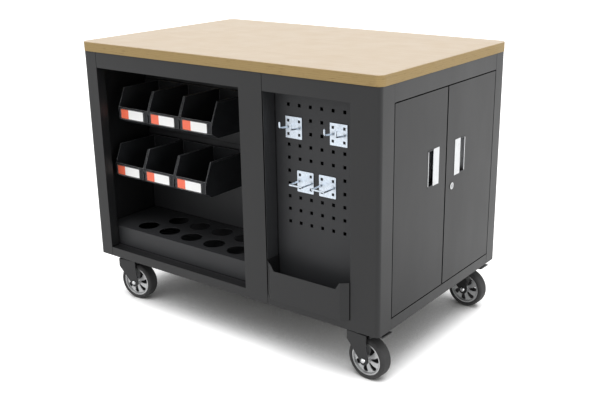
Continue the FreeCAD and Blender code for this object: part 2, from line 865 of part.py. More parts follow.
def make_hinge_pins():
    pin = new_body("hinge_pin", zero, zero, zero)
    shank = PIN_RADIUS
    outline = [
        (zero, zero), (PIN_HEAD, zero), (PIN_HEAD, METAL), (shank, METAL),
        (shank, METAL * 2 + PIN_REACH), (zero, METAL * 2 + PIN_REACH),
    ]
    turned(pin, "pin", outline)
    across = FreeCAD.Vector(1, 0, 0)
    x = BODY_WIDTH - PIN_INSET
    spots = []
    for y in hinge_lines():
        spots.append(cabinet_spot(x, y, doorway_low - METAL * 2, across, 90))
        spots.append(cabinet_spot(x, y, doorway_high + METAL * 2, across, -90))
    repeat("hinge_pins", pin, spots)


def make_pull(label, pull_y, grip_first):
    """A pressed dish with a grip plate over the side next to the doors' meeting gap."""
    body = keep(cabinet_body(label))
    face = BODY_WIDTH
    proud = face + PULL_PROUD
    end_y = pull_y + PULL_WIDTH
    end_z = PULL_Z + PULL_HEIGHT
    rim = PULL_RIM
    wall = PULL_METAL
    pad(body, "rim", "YZ", [rectangle(pull_y, PULL_Z, end_y, end_z)], face, proud)
    dish = rectangle(pull_y + rim, PULL_Z + rim, end_y - rim, end_z - rim)
    bottom = face - PULL_DEPTH
    pad(body, "dish", "YZ", [dish], bottom, face)
    edge = rim + wall
    hollow = rectangle(pull_y + edge, PULL_Z + edge, end_y - edge, end_z - edge)
    pocket(body, "hollow", "YZ", [hollow], bottom + wall, proud)
    floor = bottom + wall
    round_edges(body, "scoop", PULL_ROUND, 2, [(floor, pull_y + edge), (floor, end_y - edge)])
    round_edges(body, "back_round", PULL_ROUND, 2, [(bottom, pull_y + rim), (bottom, end_y - rim)])
    if grip_first:
        plate = rectangle(pull_y + rim, PULL_Z + rim, pull_y + PULL_GRIP, end_z - rim)
    else:
        plate = rectangle(end_y - PULL_GRIP, PULL_Z + rim, end_y - rim, end_z - rim)
    pad(body, "grip", "YZ", [plate], proud - wall, proud)


def make_lock():
    housing = keep(cabinet_body("lock_housing"))
    face = BODY_WIDTH
    proud = face + LOCK_PROUD
    inner = face - LOCK_BARREL_LENGTH
    pad(housing, "barrel", "YZ", [Disc(LOCK_Y, LOCK_Z, LOCK_BARREL)], inner, face)
    pad(housing, "bezel", "YZ", [Disc(LOCK_Y, LOCK_Z, LOCK_BEZEL)], face, proud)
    bore = Disc(LOCK_Y, LOCK_Z, PLUG_RADIUS + RUNNING_FIT)
    pocket(housing, "bore", "YZ", [bore], inner, proud)
    plug = keep(cabinet_body("lock_plug"))
    front = proud - SEAT
    pad(plug, "plug", "YZ", [Disc(LOCK_Y, LOCK_Z, PLUG_RADIUS)], front - PLUG_LENGTH, front)
    half = KEY_WIDTH / 2
    tall = KEY_HEIGHT / 2
    slot = rectangle(LOCK_Y - half, LOCK_Z - tall, LOCK_Y + half, LOCK_Z + tall)
    pocket(plug, "keyhole", "YZ", [slot], front - KEY_DEPTH, front)
    cam = keep(cabinet_body("lock_cam"))
    side = CAM_WIDTH / 2
    back = front - PLUG_LENGTH
    arm = rectangle(LOCK_Y - side, LOCK_Z - side, LOCK_Y + side, LOCK_Z + CAM_LENGTH)
    pad(cam, "arm", "YZ", [arm], back - CAM_METAL, back)
    round_edges(cam, "ends", side * 0.8, 0, [
        (LOCK_Y - side, LOCK_Z - side), (LOCK_Y + side, LOCK_Z - side),
        (LOCK_Y - side, LOCK_Z + CAM_LENGTH), (LOCK_Y + side, LOCK_Z + CAM_LENGTH),
    ])


def hook_plate(body):
    """Zinc plate centred on the body's origin, its back on the plane y = 0."""
    wide = HOOK_PLATE_WIDTH / 2
    tall = HOOK_PLATE_HEIGHT / 2
    metal = HOOK_PLATE_METAL
    pad(body, "plate", "XZ", [rectangle(-wide, -tall, wide, tall)], -metal, zero)
    corners = [(-wide, -tall), (wide, -tall), (wide, tall), (-wide, tall)]
    round_edges(body, "corners", as_size(3), 1, corners)
    hole = HOOK_HOLE / 2
    pitch = PEG_PITCH / 2
    holes = []
    tabs = []
    for x in (-pitch, pitch):
        for z in (-pitch, pitch):
            holes.append(rectangle(x - hole, z - hole, x + hole, z + hole))
        tab = TAB_WIDTH / 2
        shelf = pitch + hole
        tabs.append(rectangle(x - tab, shelf, x + tab, shelf + METAL))
    pocket(body, "holes", "XZ", holes, -metal, zero)
    pad(body, "tabs", "XZ", tabs, -metal, TAB_REACH)


def sweep_wire(body, label, plane, level, path, start, start_plane):
    spine = body.newObject("Sketcher::SketchObject", label + "_path")
    spine.AttachmentSupport = (origin_feature(body, plane + "_Plane"), "")
    spine.MapMode = "FlatFace"
    spine.AttachmentOffset = FreeCAD.Placement(FreeCAD.Vector(0, 0, level.value), FreeCAD.Rotation())
    spine.setExpression("AttachmentOffset.Base.z", level.text)
    add_outline(spine, path, False)
    plane, level = start_plane
    profile = draw(body, label + "_section", plane, [Disc(start[0], start[1], HOOK_WIRE)], level)
    feature = body.newObject("PartDesign::AdditivePipe", label)
    feature.Profile = profile
    feature.Spine = (spine, [])
    feature.Transition = "Round corner"
    body.Tip = feature
    return feature


def make_hooks():
    single = new_body("single_hook", zero, zero, zero)
    hook_plate(single)
    metal = HOOK_PLATE_METAL
    root = -(metal * 0.5)
    front = -(metal + HOOK_REACH)
    path = [(root, zero), (front, HOOK_RISE), (front, HOOK_RISE + HOOK_TIP)]
    sweep_wire(single, "wire", "YZ", zero, path, (zero, zero), ("XZ", root))
    double = new_body("double_hook", zero, zero, zero)
    hook_plate(double)
    front = -(metal + LOOP_REACH)
    half = LOOP_WIDTH / 2
    path = [(-half, root), (-half, front), (half, front), (half, root)]
    sweep_wire(double, "wire", "XY", zero, path, (-half, zero), ("XZ", root))
    x = PEG_FIRST_X + PEG_PITCH / 2
    top_row = PEG_FIRST_Z + PEG_PITCH * 9
    high = top_row - PEG_PITCH * 1.5 - HOOK_DROP
    low = top_row - PEG_PITCH * 5.5 - HOOK_DROP
    y = PEG_DEPTH
    repeat("single_hooks", single, [cabinet_spot(x, y, high), cabinet_spot(x + PEG_PITCH * 4, y, high)])
    near = cabinet_spot(x + PEG_PITCH, y, low)
    far = cabinet_spot(x + PEG_PITCH * 3, y, low)
    repeat("double_hooks", double, [near, far])


def make_bin(label, left, low):
    """An open fronted bin with a label holder and a rear lip that hangs on the rail."""
    body = keep(new_body(label, left - half_width, BIN_Y + front_y, low + CASTER_HEIGHT))
    wide = BIN_WIDTH
    rim = BIN_RIM
    wall = BIN_WALL
    deep = BIN_DEPTH
    tall = BIN_HEIGHT
    side = [
        (zero, BIN_LIP_LOW), (zero, BIN_LIP_HIGH), (BIN_FRONT, tall),
        (deep, tall), (deep, zero), (BIN_TOE, zero),
    ]
    pad(body, "shell", "YZ", [side], rim, wide - rim)
    band = BIN_RIM_HEIGHT
    edge = [
        (zero, BIN_LIP_HIGH - band), (zero, BIN_LIP_HIGH), (BIN_FRONT, tall),
        (deep, tall), (deep, tall - band), (BIN_FRONT + band * 0.5, tall - band),
        (band * 0.8, BIN_LIP_HIGH - band),
    ]
    pad(body, "rim", "YZ", [edge], zero, wide)
    inner = [
        (wall, BIN_LIP_LOW + wall * 0.5), (BIN_TOE + wall * 0.5, wall), (deep - wall, wall),
        (deep - wall, tall + wall), (wall, tall + wall),
    ]
    pocket(body, "inside", "YZ", [inner], rim + wall, wide - rim - wall)
    frame = HOLDER_DEPTH
    start = LABEL_INSET - frame
    end = LABEL_INSET + LABEL_WIDTH + frame
    middle = (BIN_LIP_LOW + BIN_LIP_HIGH) / 2
    high = LABEL_HEIGHT / 2 + frame * 0.5
    holder = rectangle(start, middle - high, end, middle + high)
    pad(body, "holder", "XZ", [holder], -frame, zero)
    card = rectangle(
        LABEL_INSET, middle - LABEL_HEIGHT / 2, end - frame, middle + LABEL_HEIGHT / 2,
    )
    pocket(body, "card_slot", "XZ", [card], -frame, -frame + frame * 0.4)
    metal = BIN_HOOK_METAL
    reach = deep + HOOK_WEB
    lip = [
        (deep - wall, tall), (reach, tall), (reach, tall - HOOK_DROP_BIN),
        (reach - metal, tall - HOOK_DROP_BIN), (reach - metal, tall - metal), (deep - wall, tall - metal),
    ]
    half = BIN_HOOK_WIDTH / 2
    pad(body, "hanging_lip", "YZ", [lip], wide / 2 - half, wide / 2 + half)


def make_bins():
    for n in range(3):
        left = BIN_FIRST_X + BIN_PITCH * n
        make_bin("upper_bin_%d" % (n + 1), left, UPPER_BIN_Z)
        make_bin("lower_bin_%d" % (n + 1), left - BIN_ROW_SHIFT, LOWER_BIN_Z)


def make_bin_rails():
    """Two rails on the back panel, each with an upturned lip under the bins' hooks."""
    rail = cabinet_body("bin_rail")
    metal = METAL
    top = BIN_HEIGHT - BIN_HOOK_METAL - SEAT
    lip_y = BIN_Y + BIN_DEPTH + HOOK_WEB - BIN_HOOK_METAL - SEAT
    plate_y = BAY_DEPTH - metal
    low = top - RAIL_LIP
    path = [
        (lip_y, top), (lip_y, low), (plate_y, low), (plate_y, low + RAIL_PLATE),
    ]
    left = METAL + SEAM
    pad(rail, "rail", "YZ", [folded(path, -metal)], left, bay_right - SEAT)
    repeat("bin_rails", rail, [cabinet_spot(zero, zero, z) for z in (UPPER_BIN_Z, LOWER_BIN_Z)])


def caster_places():
    """Name, swivel axis and yaw of each caster."""
    left = CASTER_X - half_width
    right = half_width - CASTER_X
    near = front_y + CASTER_Y
    far = front_y + BODY_DEPTH - CASTER_Y
    return [
        ("front_right", right, near, NEAR_YAW), ("front_left", left, near, LEFT_YAW),
        ("back_right", right, far, REAR_YAW), ("back_left", left, far, FAR_YAW),
    ]


def make_caster_plates():
    plate = new_body("caster_plate", zero, zero, zero)
    long = PLATE_LENGTH / 2
    wide = PLATE_WIDTH / 2
    pad(plate, "plate", "XY", [rectangle(-long, -wide, long, wide)], -PLATE_METAL, zero)
    corners = [(-long, -wide), (long, -wide), (long, wide), (-long, wide)]
    round_edges(plate, "corners", PLATE_ROUND, 2, corners)
    bore = BOLT_RADIUS + RUNNING_FIT
    holes = [Disc(BOLT_X * i, BOLT_Y * j, bore) for i in (-1, 1) for j in (-1, 1)]
    pocket(plate, "bolt_holes", "XY", holes, -PLATE_METAL, zero)
    pad(plate, "race", "XY", [Disc(zero, zero, RACE_RADIUS)], -RACE_DROP, -PLATE_METAL)
    crown = CROWN_DROP + CROWN_METAL
    pad(plate, "king_pin", "XY", [Disc(zero, zero, KING_RADIUS)], -(crown + 4), -RACE_DROP)
    pad(plate, "king_nut", "XY", [Disc(zero, zero, KING_NUT)], -(crown + 4), -(crown + SEAT))
    spots = []
    for name, x, y, yaw in caster_places():
        base = FreeCAD.Vector(x.value, y.value, CASTER_HEIGHT.value)
        spots.append(FreeCAD.Placement(base, FreeCAD.Rotation()))
    repeat("caster_plates", plate, spots)


def make_caster_bolts():
    bolt = new_body("caster_bolt", zero, zero, zero)
    low = -(PLATE_METAL + BOLT_HEAD_HEIGHT)
    hexagon = [(BOLT_HEAD * math.cos(math.radians(60 * n)), BOLT_HEAD * math.sin(math.radians(60 * n)))
               for n in range(6)]
    pad(bolt, "head", "XY", [hexagon], low, -PLATE_METAL)
    top = CHANNEL_METAL + BOLT_HEAD_HEIGHT
    pad(bolt, "shank", "XY", [Disc(zero, zero, BOLT_RADIUS)], -PLATE_METAL, top + 2)
    pad(bolt, "nut", "XY", [hexagon], CHANNEL_METAL, top)
    spots = []
    for name, x, y, yaw in caster_places():
        for i in (-1, 1):
            for j in (-1, 1):
                base = FreeCAD.Vector(
                    x.value + i * BOLT_X.value, y.value + j * BOLT_Y.value, CASTER_HEIGHT.value)
                spots.append(FreeCAD.Placement(base, FreeCAD.Rotation()))
    repeat("caster_bolts", bolt, spots)


def make_fork(label, x, y, yaw):
    body = keep(new_body(label, x, y, CASTER_HEIGHT, yaw.value))
    wide = FORK_HALF_WIDTH
    long = FORK_HALF_LENGTH
    top = -CROWN_DROP
    under = top - CROWN_METAL
    pad(body, "crown", "XY", [rectangle(-long, -wide, long, wide)], under, top)
    hub = -(CASTER_HEIGHT - WHEEL_RADIUS)
    leg = [
        (-long, top), (long, top), (long, -FORK_SKIRT), (TRAIL + HUB_RADIUS, hub),
        (TRAIL - HUB_RADIUS, hub), (-long, -(FORK_SKIRT + 4)),
    ]
    inside = wide - FORK_METAL
    pad(body, "near_leg", "XZ", [leg], -wide, -inside)
    pad(body, "far_leg", "XZ", [leg], inside, wide)
    end = Disc(TRAIL, hub, HUB_RADIUS)
    pad(body, "near_hub", "XZ", [end], -wide, -inside)
    pad(body, "far_hub", "XZ", [end], inside, wide)
    round_edges(body, "shoulders", FORK_METAL, 0, [(-wide, top), (wide, top)])
    race_top = -(RACE_DROP + SEAT)
    pad(body, "lower_race", "XY", [Disc(zero, zero, LOWER_RACE_RADIUS)], top, race_top)
    bore = Disc(zero, zero, KING_RADIUS + RUNNING_FIT)
    pocket(body, "king_bore", "XY", [bore], under, race_top)
    axle = Disc(TRAIL, hub, AXLE_RADIUS + RUNNING_FIT)
    pin = Disc(PEDAL_X, -PEDAL_Z, PEDAL_PIN + RUNNING_FIT)
    pocket(body, "leg_bores", "XZ", [axle, pin], -wide, wide)


def wheel_spot(x, y, yaw):
    """Middle of a wheel for a swivel axis and its yaw."""
    angle = math.radians(yaw.value)
    return (x + TRAIL * math.cos(angle), y + TRAIL * math.sin(angle), WHEEL_RADIUS)


def window_outline():
    """A swept window, narrow at the nave and wide and rounded at the rim."""
    inner = WINDOW_INNER
    outer = WINDOW_OUTER
    middle = (inner + outer) / 2
    rings = [
        (inner, -8), (middle, -9), (outer - 3, -5), (outer, 0), (outer + 0.6, 7),
        (outer, 14), (outer - 3, 18), (middle, 12), (inner, 6),
    ]
    points = []
    for radius, degrees in rings:
        angle = math.radians(degrees)
        points.append((radius * math.cos(angle), radius * math.sin(angle)))
    return points


def make_core(label, x, y, yaw):
    cx, cy, cz = wheel_spot(x, y, yaw)
    body = keep(new_body(label, cx, cy, cz, yaw.value))
    bore = AXLE_RADIUS + RUNNING_FIT
    nave = NAVE_RADIUS
    web = CORE_WEB / 2
    edge = CORE_WIDTH / 2
    reach = FORK_HALF_WIDTH - FORK_METAL - SEAT
    outline = [
        (bore, -reach), (nave, -reach), (nave + 1.5, -web), (CORE_RIM - 1, -web),
        (CORE_RIM, -edge), (CORE_RADIUS, -edge), (CORE_RADIUS, edge),
        (CORE_RIM, edge), (CORE_RIM - 1, web), (nave + 1.5, web), (nave, reach), (bore, reach),
    ]
    turned(body, "core", outline)
    window = pocket(body, "window", "XZ", [window_outline()], -edge, edge)
    spin = body.newObject("PartDesign::PolarPattern", "windows")
    spin.Axis = (origin_feature(body, "Y_Axis"), [""])
    spin.Angle = 360
    spin.Occurrences = 7
    spin.Originals = [window]
    body.Tip = spin


def make_tyre(label, x, y, yaw):
    cx, cy, cz = wheel_spot(x, y, yaw)
    body = keep(new_body(label, cx, cy, cz, yaw.value))
    half = TYRE_WIDTH / 2
    edge = CORE_WIDTH / 2
    outline = [
        (CORE_RADIUS, -edge), (CORE_RADIUS + 1, -half), (WHEEL_RADIUS, -half),
        (WHEEL_RADIUS, half), (CORE_RADIUS + 1, half), (CORE_RADIUS, edge),
    ]
    turned(body, "tyre", outline)
    round_rims(body, "shoulders", TYRE_ROUND, WHEEL_RADIUS)


def make_axle(label, x, y, yaw):
    cx, cy, cz = wheel_spot(x, y, yaw)
    body = keep(new_body(label, cx, cy, cz, yaw.value))
    shank = AXLE_RADIUS
    head = AXLE_HEAD
    low = FORK_HALF_WIDTH
    high = low + AXLE_HEAD_HEIGHT
    outline = [
        (zero, -high), (head * 0.55, -high), (head * 0.88, -(low + AXLE_HEAD_HEIGHT * 0.62)),
        (head, -(low + 1.5)), (head, -low), (shank, -low), (shank, low), (head, low),
        (head, low + 1.5), (head * 0.88, low + AXLE_HEAD_HEIGHT * 0.62), (head * 0.55, high),
        (zero, high),
    ]
    turned(body, "axle", outline)


def make_pedal(label, x, y, yaw):
    body = keep(new_body(label, x, y, CASTER_HEIGHT, yaw.value))
    px = PEDAL_X
    pz = -PEDAL_Z
    tip = PEDAL_REACH
    metal = PEDAL_METAL
    lever = [
        (px - 5, pz + 3.5), (px + 10, pz + 4.5), (px + 32, pz + 16), (tip, pz + 20),
        (tip, pz + 20 - metal), (px + 34, pz + 16 - metal), (px + 14, pz + 0.5),
        (px + 7, pz - 4), (px - 5, pz - 3.5),
    ]
    half = PEDAL_HALF_WIDTH
    pad(body, "lever", "XZ", [lever], -half, half)
    pad(body, "pin", "XZ", [Disc(px, pz, PEDAL_PIN)], -FORK_HALF_WIDTH, FORK_HALF_WIDTH)


def make_casters():
    make_caster_plates()
    make_caster_bolts()
    for name, x, y, yaw in caster_places():
        make_fork(name + "_fork", x, y, yaw)
        make_core(name + "_wheel", x, y, yaw)
        make_tyre(name + "_tyre", x, y, yaw)
        make_axle(name + "_axle", x, y, yaw)
        make_pedal(name + "_pedal", x, y, yaw)


def check_and_write():
    doc.recompute()
    for item in doc.Objects:
        if "Invalid" in item.State or "Error" in item.State:
            raise ValueError("%s %s" % (item.Label, item.State))
        if item.TypeId == "PartDesign::Pocket":
            before = item.BaseFeature.Shape.Volume
            if item.Shape.Volume > before - 0.01:
                raise ValueError("nothing cut by %s" % item.Label)
    os.makedirs("parts", exist_ok=True)
    for item in pieces:
        if item.Shape.isNull() or not item.Shape.isValid():
            raise ValueError(item.Label)
    for item in pieces:
        item.Shape.exportStep("parts/%s.step" % item.Label)
        print(item.Label, len(item.Shape.Solids), round(item.Shape.Volume))


make_worktop()
make_front_left_post()
make_front_frame()
make_right_front_frame()
make_right_rails()
make_back_posts()
make_outer_panels()
make_floor()
make_base_channels()
make_bay_walls()
make_can_shelf()
make_cupboard_shelf()
make_pegboard()
make_pocket()
make_pocket_rivets()
make_doors()
make_hinge_pins()
make_pull("left_door_pull", LEFT_PULL_Y, False)
make_pull("right_door_pull", RIGHT_PULL_Y, True)
make_lock()
make_hooks()
make_bins()
make_bin_rails()
make_casters()
check_and_write()
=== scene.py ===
"""Looks of a rolling tool cabinet with worktop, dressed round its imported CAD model."""

import json
import math

import bpy
from mathutils import Matrix, Vector


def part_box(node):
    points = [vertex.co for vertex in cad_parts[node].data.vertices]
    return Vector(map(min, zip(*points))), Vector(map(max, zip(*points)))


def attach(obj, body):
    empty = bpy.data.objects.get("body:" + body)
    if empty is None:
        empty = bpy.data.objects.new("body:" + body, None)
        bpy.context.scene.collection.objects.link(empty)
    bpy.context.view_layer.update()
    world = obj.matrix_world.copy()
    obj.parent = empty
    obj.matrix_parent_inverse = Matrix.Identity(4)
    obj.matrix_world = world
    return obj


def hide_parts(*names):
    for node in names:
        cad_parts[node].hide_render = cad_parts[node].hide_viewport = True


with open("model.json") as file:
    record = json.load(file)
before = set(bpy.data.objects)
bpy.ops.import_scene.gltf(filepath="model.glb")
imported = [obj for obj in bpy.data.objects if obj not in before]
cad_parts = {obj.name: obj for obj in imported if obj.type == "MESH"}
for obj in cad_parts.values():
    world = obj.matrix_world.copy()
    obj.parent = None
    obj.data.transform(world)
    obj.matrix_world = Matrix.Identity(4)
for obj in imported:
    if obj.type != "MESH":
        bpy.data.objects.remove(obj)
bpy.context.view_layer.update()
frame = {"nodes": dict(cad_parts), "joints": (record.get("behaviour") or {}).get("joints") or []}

# Photograph's camera: its place, its axes and its lens
CAMERA_PLACE = Vector((1.7091, -2.1637, 1.2634))
CAMERA_RIGHT = Vector((0.8064, 0.5913, -0.0094))
CAMERA_DOWN = Vector((0.1751, -0.2538, -0.9513))
PHOTO_WIDTH = 600
PHOTO_HEIGHT = 401
FOCAL_PIXELS = 876.1
CENTRE_X = 319.69
CENTRE_Y = 195.85

# Light: the level of the sky, and the name, direction, strength and spread of each soft sun
SKY_LEVEL = 0.40
SUNS = (
    ("side_sun", (0.95, -0.05, 0.28), 0.9, 0.6),
    ("front_sun", (-0.10, -0.82, 0.58), 0.50, 0.9),
    ("top_sun", (0.06, -0.18, 0.97), 2.2, 0.9),
)

# Colours, as linear red, green and blue
BLACK = (0.0, 0.0, 0.0)
ANTHRACITE = (0.0066, 0.0068, 0.0074)
LAMINATE = (0.600, 0.495, 0.375)
LAMINATE_SHADE = (0.560, 0.452, 0.330)
PLY_LIGHT = (0.340, 0.240, 0.102)
PLY_DARK = (0.150, 0.092, 0.034)
PLASTIC = (0.016, 0.017, 0.019)
RIM_SHINE = (0.50, 0.51, 0.52)
RUBBER = (0.030, 0.030, 0.031)
DUST = (0.11, 0.105, 0.10)
CARD_WHITE = (0.93, 0.93, 0.92)
CARD_RED = (0.92, 0.17, 0.09)
STEEL = (0.70, 0.71, 0.72)
PULL_RIM_GREY = (0.045, 0.045, 0.048)
ZINC = (0.69, 0.76, 0.84)
SILVER = (0.56, 0.565, 0.57)
RECESS_SHADE = (0.012, 0.012, 0.013)
FLOOR_WHITE = (0.93, 0.93, 0.93)
FLOOR_SHADE = (0.46, 0.455, 0.44)

# Brush marks on bright metal: their stretch, and the anisotropy of upright ones
UPRIGHT_BRUSH = (1.0, 1.0, 0.03)
NO_BRUSH = (1.0, 1.0, 1.0)
BRUSH_ANISOTROPY = 0.4


class Look:
    """A material with one Principled shader, and short calls for its texture nodes."""

    # The Mix node's colour sockets share their names with others, so they go by number
    MIX_FIRST = 6
    MIX_SECOND = 7
    MIX_RESULT = 2

    def __init__(self, name, **constants):
        self.material = bpy.data.materials.new(name)
        self.material.use_nodes = True
        self.tree = self.material.node_tree
        self.shader = self.tree.nodes["Principled BSDF"]
        self.place = self.tree.nodes.new("ShaderNodeTexCoord").outputs["Object"]
        for socket, value in constants.items():
            self.shader.inputs[socket.replace("_", " ")].default_value = value

    def node(self, kind, inputs=None, **settings):
        """A new node; each input is a value or another node's output."""
        made = self.tree.nodes.new(kind)
        for key, value in settings.items():
            setattr(made, key, value)
        for key, value in (inputs or {}).items():
            if isinstance(value, bpy.types.NodeSocket):
                self.tree.links.new(value, made.inputs[key])
            else:
                made.inputs[key].default_value = value
        return made

    def stretched(self, stretch):
        mapped = self.node("ShaderNodeMapping", {"Vector": self.place, "Scale": stretch})
        return mapped.outputs["Vector"]

    def noise(self, scale, detail=3.0, roughness=0.5, stretch=(1.0, 1.0, 1.0)):
        place = self.stretched(stretch)
        inputs = {"Vector": place, "Scale": scale, "Detail": detail, "Roughness": roughness}
        return self.node("ShaderNodeTexNoise", inputs).outputs["Fac"]

    def cells(self, scale):
        inputs = {"Vector": self.place, "Scale": scale}
        return self.node("ShaderNodeTexVoronoi", inputs).outputs["Color"]

    def math(self, operation, first, second=0.0, third=0.0):
        inputs = {0: first, 1: second, 2: third}
        return self.node("ShaderNodeMath", inputs, operation=operation).outputs[0]

    def vector_math(self, operation, first, second):
        return self.node("ShaderNodeVectorMath", {0: first, 1: second}, operation=operation)

    def between(self, value, low, high, start=0.0, end=1.0):
        """Maps value from low..high to start..end, and holds it there outside."""
        inputs = {"Value": value, "From Min": low, "From Max": high, "To Min": start, "To Max": end}
        return self.node("ShaderNodeMapRange", inputs).outputs["Result"]

    def mixed(self, amount, first, second):
        """The first colour at amount 0, the second at 1."""
        colours = [c if isinstance(c, bpy.types.NodeSocket) else (*c, 1.0) for c in (first, second)]
        inputs = {"Factor": amount, self.MIX_FIRST: colours[0], self.MIX_SECOND: colours[1]}
        return self.node("ShaderNodeMix", inputs, data_type="RGBA").outputs[self.MIX_RESULT]

    def bump(self, height, depth, over=None):
        inputs = {"Height": height, "Distance": depth, "Strength": 1.0}
        if over is not None:
            inputs["Normal"] = over
        return self.node("ShaderNodeBump", inputs).outputs["Normal"]

    def soft_edges(self, radius):
        """The normal as if each sharp edge were rounded by that radius."""
        return self.node("ShaderNodeBevel", {"Radius": radius}, samples=4).outputs["Normal"]

    def edge_mask(self, radius):
        """1 along the sharp edges and 0 on the faces between them."""
        plain = self.node("ShaderNodeNewGeometry").outputs["Normal"]
        turned = self.vector_math("DOT_PRODUCT", self.soft_edges(radius), plain)
        return self.between(turned.outputs["Value"], 0.99, 0.80)

    def openness(self, reach):
        """1 on an open face, and towards 0 in seams and corners nearer than reach."""
        return self.node("ShaderNodeAmbientOcclusion", {"Distance": reach}, samples=8).outputs["AO"]

    def axis(self, name, source=None):
        split = self.node("ShaderNodeSeparateXYZ", {"Vector": source or self.place})
        return split.outputs[name]

    def wire(self, socket, output):
        self.tree.links.new(output, self.shader.inputs[socket])


def shade(colour, factor):
    return tuple(part * factor for part in colour)


# Painted sheet steel: how near another sheet the painted shade in corners reaches, the half
# width of a black line of painted shade along a gap, and how many half widths from its middle
# the line has faded
SEAM_SHADE_REACH = 0.006
SEAM_HALF = 0.0009
SEAM_FADE = 1.3


def powder_coat(name, colour, roughness=0.42, shine=0.47, shade_lines=()):
    """Powder coat: fine orange peel, faint clouds, paler worn edges and black painted shade.

    Each of the shade lines is an axis and the place of a black line of painted shade across it.
    """
    look = Look(name, Specular_IOR_Level=shine)
    clouds = look.noise(scale=5.0, detail=4.0, roughness=0.6)
    tone = look.mixed(look.between(clouds, 0.3, 0.7), shade(colour, 0.90), shade(colour, 1.10))
    grain = look.noise(scale=1400.0, detail=2.0)
    tone = look.mixed(look.between(grain, 0.35, 0.75, 0.0, 0.35), tone, shade(colour, 1.5))
    edge_patchiness = look.between(look.noise(scale=60.0), 0.35, 0.65, 0.15, 0.6)
    worn = look.math("MULTIPLY", look.edge_mask(radius=0.0012), edge_patchiness)
    tone = look.mixed(worn, tone, shade(colour, 3.0))
    # Painted shade: black, matt and without reflection in corners, near other sheets and along the
    # shade lines
    seam_shade = look.between(look.openness(SEAM_SHADE_REACH), 0.35, 0.90, 1.0, 0.0)
    for axis, place in shade_lines:
        away = look.math("ABSOLUTE", look.math("SUBTRACT", look.axis(axis), place))
        line = look.between(away, SEAM_HALF, SEAM_HALF * SEAM_FADE, 1.0, 0.0)
        seam_shade = look.math("MAXIMUM", seam_shade, line)
    look.wire("Base Color", look.mixed(seam_shade, tone, BLACK))
    look.wire("Metallic", seam_shade)
    smears = look.noise(scale=9.0, detail=5.0, roughness=0.65, stretch=(1.0, 1.0, 0.35))
    gloss = look.between(smears, 0.3, 0.7, roughness - 0.02, roughness + 0.04)
    look.wire("Roughness", look.math("MAXIMUM", gloss, seam_shade))
    rounded = look.soft_edges(radius=0.0008)
    peel = look.bump(look.noise(scale=700.0, detail=2.0), depth=0.00006, over=rounded)
    waves = look.noise(scale=6.0, detail=2.0)
    look.wire("Normal", look.bump(waves, depth=0.0004, over=peel))
    return look.material


# Worktop board: its layers of ply, and how far they wander up and down, in layers
PLY_COUNT = 11.0
PLY_WANDER = 0.30


def worktop_board(name):
    """Pale laminate on a plywood board whose layers show along the edge."""
    look = Look(name, Specular_IOR_Level=0.22)
    low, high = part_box("worktop")
    grain = look.noise(scale=9.0, detail=6.0, roughness=0.6, stretch=(0.5, 9.0, 1.0))
    face = look.mixed(look.between(grain, 0.35, 0.70), LAMINATE, LAMINATE_SHADE)
    fibres = look.noise(scale=60.0, detail=4.0, roughness=0.7, stretch=(0.6, 14.0, 1.0))
    face = look.mixed(look.between(fibres, 0.45, 0.80, 0.0, 0.30), face, LAMINATE_SHADE)
    height = look.between(look.axis("Z"), low[2], high[2], 0.0, PLY_COUNT)
    wander = look.math("MULTIPLY_ADD", look.noise(scale=7.0), PLY_WANDER, height)
    layer = look.math("PINGPONG", wander, 1.0)
    streaks = look.noise(scale=26.0, detail=5.0, roughness=0.7, stretch=(1.0, 1.0, 14.0))
    edge = look.mixed(look.between(layer, 0.30, 0.70, 0.0, 0.12), PLY_LIGHT, PLY_DARK)
    edge = look.mixed(look.between(streaks, 0.56, 0.70, 0.0, 0.75), edge, PLY_DARK)
    pores = look.noise(scale=420.0, detail=2.0, stretch=(1.0, 1.0, 3.0))
    edge = look.mixed(look.between(pores, 0.60, 0.80, 0.0, 0.5), edge, shade(PLY_DARK, 0.6))
    normal = look.node("ShaderNodeNewGeometry").outputs["Normal"]
    upward = look.between(look.axis("Z", normal), 0.55, 0.75)
    look.wire("Base Color", look.mixed(upward, edge, face))
    satin = look.between(look.noise(scale=14.0, detail=4.0), 0.3, 0.7, 0.34, 0.46)
    rough_edge = look.math("ADD", satin, 0.12)
    look.wire("Roughness", look.math("MULTIPLY_ADD", upward, -0.12, rough_edge))
    relief = look.math("ADD", fibres, look.math("MULTIPLY", layer, 0.5))
    rounded = look.soft_edges(radius=0.0006)
    look.wire("Normal", look.bump(relief, depth=0.00008, over=rounded))
    return look.material


